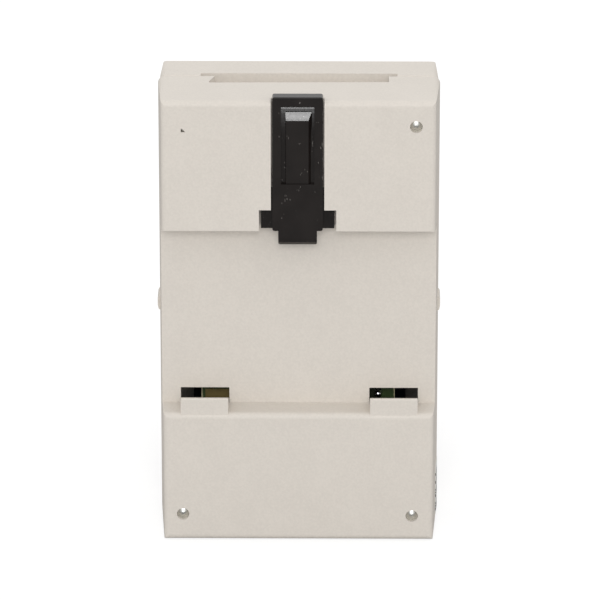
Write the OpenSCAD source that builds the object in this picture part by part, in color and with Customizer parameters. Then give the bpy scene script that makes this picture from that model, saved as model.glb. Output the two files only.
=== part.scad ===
// Prepaid electricity meter for a 35 mm rail, three modules wide.
// X runs across the case, Y from the display (-Y) to the rail side (+Y), Z up.
// The origin is at the middle of the footprint, level with the underside of the case.
// Depths are measured forwards from the rearmost plane, heights up from the underside.

/* [Case] */
// Width across the joint between the two shells
case_w = 52.8; // [52.7:0.1:53]
// Height of the case
case_h = 88; // [87.8:0.1:88.4]
// Depth from the rearmost plane to the face with the display and keys
case_d = 64; // [64:0.1:64.5]
// Depth at which the rear and front shells meet
joint_d = 15.1; // [15:0.1:15.3]
// Wall thickness of the shells
wall = 1.8; // [1.7:0.05:1.9]
// Width of the rearmost faces, which the draft of the sides makes narrower than the case
rear_w = 50.9; // [50.5:0.1:51.2]

/* [Rail channel] */
// Depth of the channel floor behind which the rail's flanges lie
channel_d = 5.8; // [5.6:0.1:6]
// Height of the channel's lower wall, which carries the fixed hooks
channel_low = 25.9; // [25.7:0.1:26.1]
// Height of the channel's upper wall
channel_high = 62.4; // [62.3:0.1:62.6]
// Distance between the middles of the fixed hooks, halved
hook_x = 17.85; // [17.6:0.05:18]
// Width of a fixed hook
hook_w = 8.95; // [8.6:0.05:9.1]
// Height of a fixed hook above the lower wall
hook_h = 2.9; // [2.6:0.05:3]

/* [Rail latch] */
// Width of the latch body
latch_w = 9.4; // [9.2:0.1:9.5]
// Width of the slot that it slides in
latch_slot_w = 9.94; // [9.8:0.02:10]
// Height of its pulling end when it holds the rail
latch_top = 88.7; // [88.5:0.05:88.8]
// Height of the lower end of its nose
latch_tip = 59.6; // [59.5:0.1:59.9]
// Travel of the latch
latch_travel = 3; // [2.5:0.1:3]

/* [Front] */
// Height of the raised front, which fits a standard cover plate
nose_h = 44.6; // [44.2:0.1:45]
// Depth of the shoulders above and below the raised front
shoulder_d = 45; // [44.8:0.1:45.2]
// How far the keys stand out
key_proud = 1; // [0.9:0.05:1.1]
// Travel of a key
key_travel = 0.8; // [0.6:0.05:0.8]
// Distance between key columns
key_pitch_x = 10.8; // [10.6:0.1:10.9]
// Distance between key rows
key_pitch_z = 8; // [7.9:0.1:8]

/* [Power terminals] */
// Distance between neighbouring terminals
terminal_pitch = 10.2; // [10.1:0.05:10.2]
// Thread diameter of the clamp screws
clamp_screw_d = 5; // [4.8:0.1:5]
// Travel of a clamp from open to closed
clamp_travel = 4; // [3.6:0.1:4]

/* [Hidden] */
$fn = 48;
rear = (case_d + key_proud) / 2;
gap = 0.05;
mid_h = case_h / 2;
hook_shift = -0.13;
latch_x = 0.15;
rear_half = rear_w / 2;
slope_d = 23.66;
slope_drop = 9;
bevel = 1.2;
corner_r = 1.3;
rear_top = case_h - 0.15;
nose_low = mid_h - nose_h / 2;
nose_high = mid_h + nose_h / 2;
nose_draft = 0.4;
nose_r = 1.1;
front_half = case_w / 2 - 0.25;
side_taper = 0.5;
edge_r = 1.05;
channel_draft = 0.06;
plan_r = 0.9;
case_screw_r = 1.14;
screw_tip_d = 0.5;
hook_hole_w = 9.2;
hook_gap_d = 4.6;
nose_relief = 0.3;
latch_back = 2.3;
wing_near = 1.9;
wing_far = 3.3;
wing_half = 6.85;
wing_top = 70;
nose_half = 3.6;
pry_half = 16.8;
pry_near = 11.5;
pry_relief = 1.2;
board_near = 10.6;
board_t = 1.6;
board_far = board_near + board_t;
board_left = -18.2;
board_right = 18.55;
board_posts = [[-15, 65], [16, 74], [-14.5, 12], [15, 12]];
display_board_near = case_d - 7.4;
display_board_far = display_board_near + board_t;
display_posts = [-11, 11];
display_post_z = 48.85;
face_in = case_d - 2;
film_t = 0.3;
window_x = -2.4;
window_z = 57.5;
window_w = 36;
window_h = 11.8;
label_near = 10.8;
label_far = 14.8;
led_x = 20.5;
led_z = [60.3, 54.7];
key_w = 8.6;
key_h = 5.8;
key_rows_z = 43.5;
key_flange = 0.6;
key_flange_t = 1;
KEYS = ["1", "2", "3", "4", "5", "6", "7", "8", "9", "0", "clear", "enter"];
tongue_near = 33;
tongue_t = 1.2;
tongue_far = tongue_near + tongue_t;
bar_w = 6.2;
cage_w = 8.8;
cage_side = 1.1;
clamp_z = 13.4;
cage_low = 9.4;
cage_high = 17.4;
cage_near = 22.7;
cage_open_near = 24.7;
cage_open_far = 34.6;
cage_far = 37;
head_d = 7;
head_near = 41.5;
head_far = 43.7;
block_near = 21;
block_far = 43;
block_low = 8.4;
block_high = 20.3;
cover_half = 23.6;
cover_near = shoulder_d + 0.2;
cover_t = 1.8;
hinge_d = shoulder_d + 1.15;
hinge_r = 0.8;
hinge_fit = 0.05;
hinge_low = 20.25;
hinge_high = 77.6;
cheek_t = 1.5;
aux_pitch = 3.81;
aux_x = 10;

BEIGE = [0.83, 0.80, 0.77];
BLACK = [0.13, 0.12, 0.12];
STEEL = [0.75, 0.75, 0.74];
COPPER = [0.80, 0.47, 0.28];
GREEN = [0.16, 0.24, 0.12];

CASE_NODES = ["rear_shell", "front_shell", "housing_screws", "side_label", "display_window", "face_film"];
DISPLAY_NODES = ["lcd_glass", "lcd_frame", "display_board", "key_mat", "pulse_led", "status_led", "buzzer"];
POWER_NODES = ["terminal_block", "line_busbar", "load_busbar", "neutral_busbar", "shunt",
    "current_transformer", "disconnect_relay"];
BOARD_NODES = ["main_board", "board_screws", "solder_joints", "mains_transformer", "suppression_capacitor",
    "varistor", "electrolytic_capacitors", "backup_cell", "metering_chip", "microcontroller", "crystal",
    "optocouplers", "ribbon_cable", "ribbon_connectors"];
AUX_NODES = ["aux_terminal_block", "aux_contacts"];
MOVING_NODES = ["rail_latch", "terminal_cover", "aux_cover"];
KEY_NODES = [for (k = KEYS) str("key_", k)];
CAGE_NODES = [for (i = [1:4]) str("clamp_cage_", i)];
SCREW_NODES = [for (i = [1:4]) str("clamp_screw_", i)];

// ---- Outlines and placing ----

// Points along an arc
function arc(x, y, r, from, to, n = 6) =
    [for (i = [0:n]) [x + r * cos(from + (to - from) * i / n), y + r * sin(from + (to - from) * i / n)]];

// A rectangle between two corners, with round corners
function round_box(x0, y0, x1, y1, r) = concat(
    arc(x1 - r, y1 - r, r, 0, 90), arc(x0 + r, y1 - r, r, 90, 180),
    arc(x0 + r, y0 + r, r, 180, 270), arc(x1 - r, y0 + r, r, 270, 360));

// Half width of the case at a depth: the sides taper both ways from the joint
function half_at(d) = d <= joint_d
    ? rear_half + (case_w / 2 - rear_half) * d / joint_d
    : front_half - side_taper * min(1, (d - joint_d) / (slope_d - joint_d)) - 0.012 * max(0, d - slope_d);

// X of power terminal i, from 0 to 3
function terminal_x(i) = (i - 1.5) * terminal_pitch;

// Plate with an outline in X and Z, between two depths
module slab(near, far)
    translate([0, rear - near, 0])
        rotate([90, 0, 0])
            linear_extrude(far - near) children();

// Bar along X with an outline in depth and Z, between two values of X
module beam(x0, x1)
    translate([x0, rear, 0])
        mirror([0, 1, 0])
            rotate([90, 0, 90])
                linear_extrude(x1 - x0) children();

// Column along Z with an outline in X and depth, between two heights
module column(z0, z1)
    translate([0, rear, z0])
        mirror([0, 1, 0])
            linear_extrude(z1 - z0) children();

// Block between two X, two depths and two heights
module block(x0, x1, near, far, z0, z1)
    translate([x0, rear - far, z0])
        cube([x1 - x0, far - near, z1 - z0]);

// Round rod along the depth
module rod(x, z, r, near, far)
    translate([x, rear - near, z])
        rotate([90, 0, 0])
            cylinder(r = r, h = far - near);

// Round rod along X
module cross_rod(x0, x1, d, z, r)
    translate([x0, rear - d, z])
        rotate([0, 90, 0])
            cylinder(r = r, h = x1 - x0);

// Mirrors a child onto both sides
module both_sides() {
    children();
    mirror([1, 0, 0]) children();
}

// The four case screws, [x, z]; a thin skin closes the pilot hole of the last one
case_screws = [[-21.8, 83], [-21.5, 5], [21.9, 5.3], [21.4, 82.3]];
blind_screw = case_screws[3];

// ---- Rear shell ----

// Side view of the rear shell: two blocks with the rail channel between them
module rear_profile()
    polygon(concat(
        [[joint_d, 0]], arc(edge_r, edge_r, edge_r, 270, 180),
        arc(edge_r, channel_low - channel_draft - edge_r, edge_r, 180, 90), [[channel_d, channel_low]],
        [[channel_d, channel_high]], arc(0.12, channel_high + 0.12, 0.12, 270, 180, 3),
        arc(edge_r, rear_top - edge_r, edge_r, 180, 90), [[joint_d, rear_top]]));

// Top view of the rear shell, with drafted sides and round rear corners
module rear_plan(inset)
    polygon(concat(
        [[half_at(joint_d) - inset, joint_d + (inset > 0 ? 1 : 0)]],
        arc(half_at(plan_r) - plan_r - inset, plan_r, plan_r, 0, -90),
        arc(plan_r + inset - half_at(plan_r), plan_r, plan_r, 270, 180),
        [[inset - half_at(joint_d), joint_d + (inset > 0 ? 1 : 0)]]));

// Rear view of the case, with round corners
module case_outline()
    polygon(round_box(-case_w / 2, 0, case_w / 2, rear_top, corner_r));

// The space inside the rear shell
module rear_cavity()
    intersection() {
        beam(-30, 30)
            polygon([[joint_d + 1, wall], [wall, wall], [wall, channel_low - wall],
                [channel_d + wall, channel_low - wall], [channel_d + wall, channel_high + wall],
                [wall, channel_high + wall], [wall, case_h - wall], [joint_d + 1, case_h - wall]]);
        column(0, case_h) rear_plan(wall);
    }

// The middles of the two fixed hooks
hook_places = [hook_shift - hook_x, hook_shift + hook_x];

// Hooks that go behind the rail's lower flange
module fixed_hooks()
    for (x = hook_places)
        intersection() {
            beam(x - hook_w / 2, x + hook_w / 2)
                polygon([[0.25, channel_low - 1.3], [0.25, channel_low + hook_h - 0.25],
                    [0.33, channel_low + hook_h - 0.08], [0.5, channel_low + hook_h],
                    [hook_gap_d, channel_low + 1.4], [hook_gap_d, channel_low - 1.3]]);
            slab(0, channel_d)
                polygon(round_box(x - hook_w / 2, channel_low - 2, x + hook_w / 2, channel_low + hook_h, 0.3));
        }

// Openings above the hooks, which the mould needs to form them
module hook_openings()
    for (x = hook_places)
        slab(channel_d - 1, channel_d + wall + 1)
            polygon(round_box(x - hook_hole_w / 2, channel_low, x + hook_hole_w / 2, channel_low + 3, 0.1));

// Slot for the latch, the notch for its wings, the space the wings slide in, and room for its nose
module latch_slot()
    translate([latch_x, 0, 0]) {
        block(-latch_slot_w / 2, latch_slot_w / 2, -1, latch_back + gap, channel_high - 1, case_h + 1);
        block(-7.2, 7.2, -1, wing_far + 0.1, channel_high - 1, 66.6);
        block(-7.2, 7.2, wing_near - 0.1, wing_far + 0.1, channel_high - 1, wing_top + latch_travel + 1.2);
        block(-3.9, 3.9, latch_back - 1, hook_gap_d + 0.15, channel_high - 1,
            channel_high + latch_travel + 0.4);
        block(-nose_half - 0.1, nose_half + 0.1, channel_d - 1, channel_d + nose_relief, latch_tip + 1.2,
            channel_high + gap);
    }

// Tower for a case screw, with the pilot hole through it
module screw_tower_rear(x, z)
    rod(x, z, 2.6, 0.3, joint_d - 0.1);

module rear_shell()
    color(BEIGE)
        difference() {
            union() {
                difference() {
                    intersection() {
                        beam(-30, 30) rear_profile();
                        column(-1, case_h + 1) rear_plan(0);
                        slab(0, joint_d) case_outline();
                    }
                    rear_cavity();
                }
                fixed_hooks();
                intersection() {
                    block(-9, 9, 0.5, hook_gap_d + 1.6, channel_high + 0.5, case_h - 0.5);
                    beam(-10, 10) rear_profile();
                }
                for (s = case_screws)
                    screw_tower_rear(s[0], s[1]);
                for (p = board_posts)
                    rod(p[0], p[1], 2.4, wall - 0.5, board_near);
                both_sides()
                    beam(hook_x - 3, hook_x + 2)
                        polygon([[channel_d + 0.5, 40], [channel_d + 0.5, 42], [joint_d - 5, 42],
                            [joint_d - 5, 40]]);
                side_nibs();
            }
            hook_openings();
            latch_slot();
            for (s = case_screws)
                rod(s[0], s[1], case_screw_r + 0.03, s == blind_screw ? 0.45 : -1, joint_d + 1);
            slab(-1, 1)
                translate([blind_screw[0], blind_screw[1]])
                    polygon([[-0.5, -0.45], [0.35, -0.45], [0.35, 0.2], [0.15, 0.3]]);
            for (p = board_posts)
                rod(p[0], p[1], 1, board_near - 5, board_near + 1);
            pry_notch();
        }

// Notch in the top wall for prising the shells apart
module pry_notch()
    column(case_h - wall - 0.1, case_h + 1)
        polygon([[-pry_half, pry_near + 0.25], [pry_half, pry_near - 0.25], [pry_half - 0.1, pry_near + 0.9],
            [pry_half - 1, joint_d - 0.2], [pry_half - 1, joint_d + 1], [-pry_half, joint_d + 1]]);

// Small nibs halfway up both sides, which space the meter from its neighbours
module side_nibs()
    both_sides()
        slab(10.4, joint_d)
            polygon([[case_w / 2 - 0.8, 42.5], [case_w / 2 + 0.12, 43], [case_w / 2 + 0.3, 43.8],
                [case_w / 2 + 0.3, 45.2], [case_w / 2 + 0.1, 45.6], [case_w / 2 - 0.8, 45.8]]);

// Self-tapping case screws, put in from the front
module housing_screws()
    color(STEEL)
        for (s = case_screws) {
            rod(s[0], s[1], case_screw_r, screw_tip_d + 0.4, 20);
            translate([s[0], rear - screw_tip_d - 0.4, s[1]])
                rotate([-90, 0, 0])
                    cylinder(r1 = case_screw_r, r2 = 0.2, h = 0.4);
            difference() {
                rod(s[0], s[1], 2.5, 20, 22);
                for (a = [0, 90])
                    translate([s[0], rear - 21.6, s[1]])
                        rotate([0, a, 0])
                            cube([2.8, 1.6, 0.7], center = true);
            }
        }

// ---- Front shell ----

// Side view of the front shell, whose top stands a little above the rear shell's
module front_profile()
    polygon(concat(
        [[joint_d, 0.2], [slope_d, 0.2], [slope_d + bevel, 0.2 + bevel], [shoulder_d - 0.5, slope_drop],
            [shoulder_d, slope_drop + 0.4], [shoulder_d, nose_low]],
        arc(case_d - nose_r, nose_low + nose_draft + nose_r, nose_r, -90, 0),
        arc(case_d - nose_r, nose_high - nose_draft - nose_r, nose_r, 0, 90),
        [[shoulder_d, nose_high], [shoulder_d, case_h - slope_drop - 0.4],
            [shoulder_d - 0.5, case_h - slope_drop], [slope_d + bevel, case_h - bevel],
            [slope_d, case_h], [joint_d + 0.15, case_h], [joint_d, rear_top]]));

// Top view of the front shell, with an inset and extra length at both ends
module front_plan(i, extra = 0)
    polygon(concat([[half_at(joint_d + 0.01) - i, joint_d - extra], [half_at(slope_d) - i, slope_d]],
        arc(half_at(case_d) - i - nose_r, case_d + extra - nose_r, nose_r, 0, 90),
        arc(i + nose_r - half_at(case_d), case_d + extra - nose_r, nose_r, 90, 180),
        [[i - half_at(slope_d), slope_d], [i - half_at(joint_d + 0.01), joint_d - extra]]));

// Outer form of the front shell
module front_body()
    intersection() {
        beam(-30, 30) front_profile();
        column(0, case_h) front_plan(0);
        slab(joint_d, case_d)
            polygon(round_box(-front_half, 0.2, front_half, case_h, corner_r));
    }

module front_cavity()
    intersection() {
        beam(-30, 30)
            polygon([[joint_d - 1, 2.2], [slope_d - 0.35, 2.2], [shoulder_d - 2, slope_drop + 1.9],
                [shoulder_d - 2, nose_low + 1.9], [face_in, nose_low + 2.2],
                [face_in, nose_high - 2.2], [shoulder_d - 2, nose_high - 1.9],
                [shoulder_d - 2, case_h - slope_drop - 1.9], [slope_d - 0.35, case_h - 2.2],
                [joint_d - 1, case_h - 2.2]]);
        column(0, case_h) front_plan(wall + 0.1, 1);
    }

// Tower for a case screw in the front shell
module screw_tower_front(x, z)
    intersection() {
        rod(x, z, 3.6, joint_d, shoulder_d - 2);
        front_body();
    }

// Clearance hole and counterbore of a case screw
module screw_passage(x, z) {
    rod(x, z, 1.6, joint_d - 1, 21);
    rod(x, z, 2.75, 20, shoulder_d);
}

// Ears that carry the hinge pins of a cover
module hinge_cheeks(z, reach)
    both_sides()
        beam(cover_half + 0.15, cover_half + 0.15 + cheek_t)
            polygon([[shoulder_d - 1, z - reach], [hinge_d + 1.5, z - 1.6], [hinge_d + 1.5, z + 1],
                [shoulder_d - 1, z + 1.5]]);

// Opening for a wire of power terminal i
module wire_entry(i)
    translate([terminal_x(i), rear - (cage_open_near + tongue_near) / 2, -1])
        cylinder(d = 7.4, h = block_low + 2);

// Openings of the auxiliary terminals: wires from above, release slots in front
module aux_openings()
    for (i = [0:3]) {
        x = aux_x + (i - 1.5) * aux_pitch;
        translate([x, rear - 36, case_h - 8])
            cylinder(d = 2.8, h = 10);
        block(x - 0.9, x + 0.9, shoulder_d - 3, shoulder_d + 1, 70.4, 73.6);
    }

module key_openings()
    for (i = [0:11])
        slab(face_in - 1, case_d + 1)
            translate([key_x(i), key_z(i)]) key_outline(0.15, 0.9);

// Outline of a key, grown by a margin, with corners of radius r
module key_outline(margin, r)
    polygon(round_box(-key_w / 2 - margin, -key_h / 2 - margin, key_w / 2 + margin, key_h / 2 + margin, r));

function key_x(i) = (i % 4 - 1.5) * key_pitch_x;
function key_z(i) = key_rows_z - floor(i / 4) * key_pitch_z;

module front_shell()
    color(BEIGE)
        difference() {
            union() {
                difference() {
                    front_body();
                    front_cavity();
                }
                for (s = case_screws)
                    screw_tower_front(s[0], s[1]);
                block(-18.6, 18.6, pry_near - 0.7, joint_d + 3, case_h - 3.6, case_h - 2.4);
                block(-18.6, 18.6, joint_d + pry_relief, joint_d + 3, case_h - 3, case_h - 2);
                block(-14, 14, joint_d - 2.6, joint_d + 3, wall + 0.1, 3.4);
                hinge_cheeks(hinge_low, 3);
                mirror_height() hinge_cheeks(case_h - hinge_high, 2.2);
                for (x = display_posts)
                    rod(x, display_post_z, 1.6, display_board_far, face_in + 0.5);
                slab(block_far + 0.1, shoulder_d)
                    polygon([[-3, 5.6], [3, 5.6], [3, 10.4], [-3, 10.4]]);
            }
            for (s = case_screws)
                screw_passage(s[0], s[1]);
            for (i = [0:3]) {
                wire_entry(i);
                block(terminal_x(i) - 4.6, terminal_x(i) + 4.6, cage_far, block_far - 1.6,
                    cage_low - 0.2, cage_low + 2);
                rod(terminal_x(i), clamp_z, head_d / 2 + 0.1, block_far - 2, shoulder_d + 1);
            }
            aux_openings();
            key_openings();
            slab(case_d - film_t, case_d + 1) film_outline(0);
            block(window_x - window_w / 2, window_x + window_w / 2, face_in - 1, case_d + 1,
                window_z - window_h / 2, window_z + window_h / 2);
            slab(case_d - 1.5, case_d + 1)
                translate([window_x, window_z])
                    polygon(round_box(-window_w / 2 - 0.8, -window_h / 2 - 0.7, window_w / 2 + 0.8,
                        window_h / 2 + 0.7, 0.8));
            for (z = led_z)
                rod(led_x, z, 1.6, face_in - 1, case_d + 1);
            both_sides()
                for (z = [hinge_low, hinge_high])
                    cross_rod(cover_half - 1, cover_half + 1.25, hinge_d, z, hinge_r + hinge_fit);
            for (x = display_posts)
                rod(x, display_post_z, 0.8, display_board_far - 1, face_in);
            block(-18.4, 18.4, joint_d - 1, joint_d + pry_relief, case_h - 2.3, case_h + 1);
            rod(0, 7.2, 0.9, shoulder_d - 5, shoulder_d + 1);
        }

// Outline of the recess for the printed film round the window and keys
module film_outline(i)
    polygon(round_box(-23.6 + i, nose_low + 1.5 + i, 23.6 - i, nose_high - 1.5 - i, 1.2));

// Printed film in the recess, open at the window, the keys and the indicators
module face_film()
    color([0.52, 0.56, 0.60])
        difference() {
            slab(case_d - film_t, case_d - 0.05) film_outline(0.1);
            slab(case_d - 1, case_d + 1)
                translate([window_x, window_z])
                    polygon(round_box(-window_w / 2 + 0.3, -window_h / 2 + 0.3, window_w / 2 - 0.3,
                        window_h / 2 - 0.3, 0.6));
            for (i = [0:11])
                slab(case_d - 1, case_d + 1)
                    translate([key_x(i), key_z(i)]) key_outline(0.4, 1.1);
            for (z = led_z)
                rod(led_x, z, 1.75, case_d - 1, case_d + 1);
        }

// Turns the children upside down about the middle height
module mirror_height()
    translate([0, 0, case_h])
        mirror([0, 0, 1]) children();

module side_label()
    color("white")
        column(0.9, 11.2)
            polygon([[-half_at(label_near), label_near], [-half_at(label_far), label_far],
                [-half_at(label_far) - 0.1, label_far], [-half_at(label_near) - 0.1, label_near]]);

module display_window()
    color([0.8, 0.9, 0.92, 0.4])
        slab(case_d - 1.48, case_d - film_t)
            translate([window_x, window_z])
                polygon(round_box(-window_w / 2 - 0.7, -window_h / 2 - 0.6, window_w / 2 + 0.7,
                    window_h / 2 + 0.6, 0.7));

// ---- Display and keys ----

module lcd_glass()
    color([0.55, 0.62, 0.5])
        block(window_x - 18.6, window_x + 18.6, face_in - 1.8, face_in - 0.1, 50.7, 63.9);

module lcd_frame()
    color([0.9, 0.9, 0.85])
        difference() {
            block(window_x - 19, window_x + 19, display_board_far, face_in - 1.8, 50.5, 64);
            block(window_x - 17, window_x + 17, face_in - 2.4, face_in, 52, 62.6);
        }

module display_board()
    color(GREEN)
        difference() {
            slab(display_board_near, display_board_far)
                polygon(round_box(-22.8, 24.4, 22.8, mid_h * 2 - 24.4, 0.6));
            for (x = display_posts)
                rod(x, display_post_z, 1.2, display_board_near - 1, display_board_far + 1);
        }

// Silicone mat with one dome under each key, low enough to leave the key its travel
module key_mat()
    color([0.35, 0.36, 0.38])
        union() {
            slab(display_board_far, display_board_far + 1)
                polygon(round_box(-21.4, 24.1, 21.4, 47, 0.8));
            for (i = [0:11])
                rod(key_x(i), key_z(i), 2, display_board_far + 0.9,
                    face_in - key_flange_t - gap - key_travel - 0.1);
        }

// Key cap i with its retaining flange
module key_cap(i)
    color(i > 9 ? [0.30, 0.42, 0.36] : [0.36, 0.37, 0.40])
        translate([key_x(i), 0, key_z(i)]) {
            slab(face_in - key_flange_t - gap, face_in - gap) key_outline(key_flange, 0.9);
            slab(face_in - gap - 0.01, case_d + key_proud - 0.35) key_outline(0, 0.8);
            slab(case_d + key_proud - 0.35, case_d + key_proud - 0.12) key_outline(-0.12, 0.75);
            slab(case_d + key_proud - 0.12, case_d + key_proud) key_outline(-0.35, 0.6);
        }

// Light-emitting diode with a domed end through the face
module led(z)
    translate([led_x, rear - display_board_far, z])
        rotate([90, 0, 0])
            rotate_extrude()
                polygon(concat([[0, 0], [1.5, 0], [1.5, 4.9]], arc(0, 4.9, 1.5, 0, 90, 8)));

module pulse_led() color([0.85, 0.1, 0.08]) led(led_z[0]);
module status_led() color([0.15, 0.65, 0.2]) led(led_z[1]);

module buzzer()
    color(BLACK)
        difference() {
            rod(-12, 36, 6, display_board_near - 6.5, display_board_near);
            rod(-12, 36, 1, display_board_near - 7, display_board_near - 5.5);
        }

// ---- Power path ----

// Insulating body with a chamber for each clamp
module terminal_block()
    color([0.24, 0.25, 0.27])
        difference() {
            beam(-20.4, 20.4)
                polygon([[block_near, block_low], [37.3, block_low], [block_far - 0.1, 11],
                    [block_far - 0.1, block_high], [block_near, block_high]]);
            for (i = [0:3])
                translate([terminal_x(i), 0, 0]) {
                    block(-4.55, 4.55, cage_near - 0.4, cage_far + clamp_travel + 0.2,
                        block_low - 1, cage_high + 0.8);
                    block(-3.3, 3.3, tongue_near - 0.1, tongue_far + 0.1, cage_high, block_high + 1);
                    rod(0, clamp_z, head_d / 2 + 0.15, cage_far, block_far + 1);
                }
            for (s = case_screws)
                if (s[1] < mid_h)
                    rod(s[0], s[1], 4, block_near - 1, block_far + 1);
        }

// Clamp cage i: a frame round the wire with the threaded wall in front
module clamp_cage(i)
    color([0.78, 0.77, 0.70])
        translate([terminal_x(i), 0, 0])
            difference() {
                block(-cage_w / 2, cage_w / 2, cage_near, cage_far, cage_low, cage_high);
                block(-cage_w / 2 + cage_side, cage_w / 2 - cage_side, cage_open_near, cage_open_far,
                    cage_low - 1, cage_high + 1);
                rod(0, clamp_z, clamp_screw_d / 2, cage_open_far - 1, cage_far + 1);
            }

// Clamp screw i: its end bears on the busbar and its slotted head faces front
module clamp_screw(i)
    color(STEEL)
        translate([terminal_x(i), 0, 0])
            difference() {
                union() {
                    rod(0, clamp_z, clamp_screw_d / 2 - 0.05, tongue_far + gap, head_near + 0.1);
                    rod(0, clamp_z, head_d / 2 - 0.1, head_near, head_far - 0.25);
                    rod(0, clamp_z, head_d / 2 - 0.35, head_far - 0.3, head_far);
                }
                for (a = [0, 90])
                    translate([0, rear - head_far + 0.6, clamp_z])
                        rotate([0, a, 0])
                            cube([a == 0 ? 5.6 : 3.6, 1.6, 1], center = true);
            }

// Outline of a straight busbar with a tapered lower end
module bar_outline(x, z0, z1, w)
    polygon([[x - w / 2 + 0.5, z0], [x + w / 2 - 0.5, z0], [x + w / 2, z0 + 0.8], [x + w / 2, z1],
        [x - w / 2, z1], [x - w / 2, z0 + 0.8]]);

module line_busbar()
    color(COPPER)
        slab(tongue_near, tongue_far) bar_outline(terminal_x(0), 9, 21, bar_w);

module shunt()
    color([0.62, 0.58, 0.52])
        difference() {
            slab(tongue_near, tongue_far) bar_outline(terminal_x(0), 21 - 0.8, 25, bar_w);
            block(-30, 30, tongue_near - 1, tongue_far + 1, 20, 21);
        }

module load_busbar()
    color(COPPER)
        slab(tongue_near, tongue_far) bar_outline(terminal_x(1), 9, 25, bar_w);

// U-shaped neutral bar, whose bridge passes through the current transformer
module neutral_busbar()
    color(COPPER)
        slab(tongue_near, tongue_far) {
            bar_outline(terminal_x(2), 9, 21.5, bar_w);
            bar_outline(terminal_x(3), 9, 21.5, bar_w);
            polygon([[terminal_x(2) - 3.1, 21.5], [terminal_x(2) - 0.1, 21.5], [terminal_x(2) - 0.1, 30],
                [terminal_x(3) + 0.1, 30], [terminal_x(3) + 0.1, 21.5], [terminal_x(3) + 3.1, 21.5],
                [terminal_x(3) + 3.1, 34], [terminal_x(3) + 2.1, 35], [terminal_x(2) - 2.1, 35],
                [terminal_x(2) - 3.1, 34]]);
        }

module current_transformer()
    color([0.15, 0.22, 0.42])
        difference() {
            cross_rod(6.2, 14.2, tongue_near + tongue_t / 2, 32.5, 8.4);
            cross_rod(5, 15, tongue_near + tongue_t / 2, 32.5, 4.2);
        }

module disconnect_relay()
    color([0.16, 0.17, 0.19])
        difference() {
            union() {
                slab(15, 41)
                    polygon(round_box(-21, 25, -1.5, 60, 0.8));
                slab(41, 42)
                    polygon(round_box(-19.5, 28, -3, 57, 0.8));
                for (x = [-18, -14.5, -8, -4.5])
                    rod(x, 57, 0.5, board_far, 15.5);
            }
            slab(41.6, 43)
                polygon(round_box(-17.5, 34, -5, 51, 0.5));
        }

// ---- Main board ----

module main_board()
    color(GREEN)
        difference() {
            slab(board_near, board_far)
                polygon([[board_left, 3.6], [board_left + 0.5, 3], [board_right - 0.5, 3], [board_right, 3.6],
                    [board_right, 83.4], [board_right - 0.5, 84], [board_left + 0.5, 84],
                    [board_left, 83.4], [board_left, 27.2], [board_left + 0.12, 26.8],
                    [board_left - 0.05, 26.3],
                    [board_left + 0.15, 25.8], [board_left, 25.2]]);
            for (p = board_posts)
                rod(p[0], p[1], 1.35, board_near - 1, board_far + 1);
        }

// Pan-head screw seen from the front, head against a depth
module pan_screw(x, z, r, head_r, tip, seat, head_h) {
    rod(x, z, r, tip, seat + 0.1);
    difference() {
        rod(x, z, head_r, seat, seat + head_h);
        for (a = [0, 90])
            translate([x, rear - seat - head_h, z])
                rotate([0, a, 0])
                    cube([head_r * 1.2, 1.2, 0.5], center = true);
    }
}

module board_screws()
    color(STEEL) {
        for (p = board_posts)
            pan_screw(p[0], p[1], 0.95, 2.3, board_near - 4.5, board_far, 1.6);
        for (x = display_posts) {
            rod(x, display_post_z, 0.75, display_board_near - 0.1, face_in - 0.5);
            rod(x, display_post_z, 1.5, display_board_near - 1.2, display_board_near);
        }
    }

// Where the through-hole parts are soldered, [x, z, radius]
SOLDER = [[-15.05, 26, 0.74], [-11.6, 24.3, 0.6], [11.5, 24.6, 0.5], [-18 + 1.2, 57, 0.8], [-14.5, 57, 0.8],
    [-8, 57, 0.8], [-4.5, 57, 0.8], [3, 46, 0.7], [3, 60, 0.7], [17, 46, 0.7], [17, 60, 0.7], [3.5, 27.5, 0.6],
    [16.5, 27.5, 0.6], [5, 36, 0.6], [12, 36, 0.6], [-8.7, 65.5, 0.6], [-6.3, 65.5, 0.6]];

module solder_joints()
    color([0.85, 0.85, 0.87])
        for (s = SOLDER)
            translate([s[0], rear - board_near, s[1]])
                rotate([-90, 0, 0])
                    rotate_extrude($fn = 24)
                        polygon(concat([[0, 0], [s[2] * 1.25, 0], [s[2] * 1.02, s[2] * 0.35]],
                            arc(0, s[2] * 0.5, s[2], 5, 90, 6)));

module mains_transformer()
    color([0.75, 0.66, 0.28])
        union() {
            block(2, 18, board_far, board_far + 3, 45, 61);
            block(4, 16, board_far + 3, board_far + 14.5, 47, 59);
            block(1.2, 18.8, board_far + 6, board_far + 12, 49, 57);
        }

module suppression_capacitor()
    color([0.80, 0.62, 0.10])
        slab(board_far, board_far + 11.5)
            polygon(round_box(2, 24.2, 18, 30.6, 0.6));

module varistor()
    color([0.10, 0.25, 0.55])
        union() {
            translate([8.5, rear - board_far - 6.6, 34.2])
                cylinder(r = 5.6, h = 3.6);
            for (x = [5, 12])
                rod(x, 36, 0.4, board_far, board_far + 4);
        }

module electrolytic_capacitors()
    color([0.12, 0.14, 0.28])
        for (x = [-7.5, 1.5])
            union() {
                rod(x, 65.5, 4, board_far + 0.3, board_far + 11);
                rod(x, 65.5, 3.6, board_far, board_far + 11.4);
            }

// Backup cell lying across the top of the board, with its tags
module backup_cell()
    color([0.20, 0.42, 0.62])
        union() {
            cross_rod(-17.5, 6.5, board_far + 7.8, 77, 7.2);
            cross_rod(6.4, 7.5, board_far + 7.8, 77, 3);
            for (x = [-17.7, 6.1])
                block(x, x + 0.3, board_far, board_far + 8, 75.5, 78.5);
        }

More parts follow.
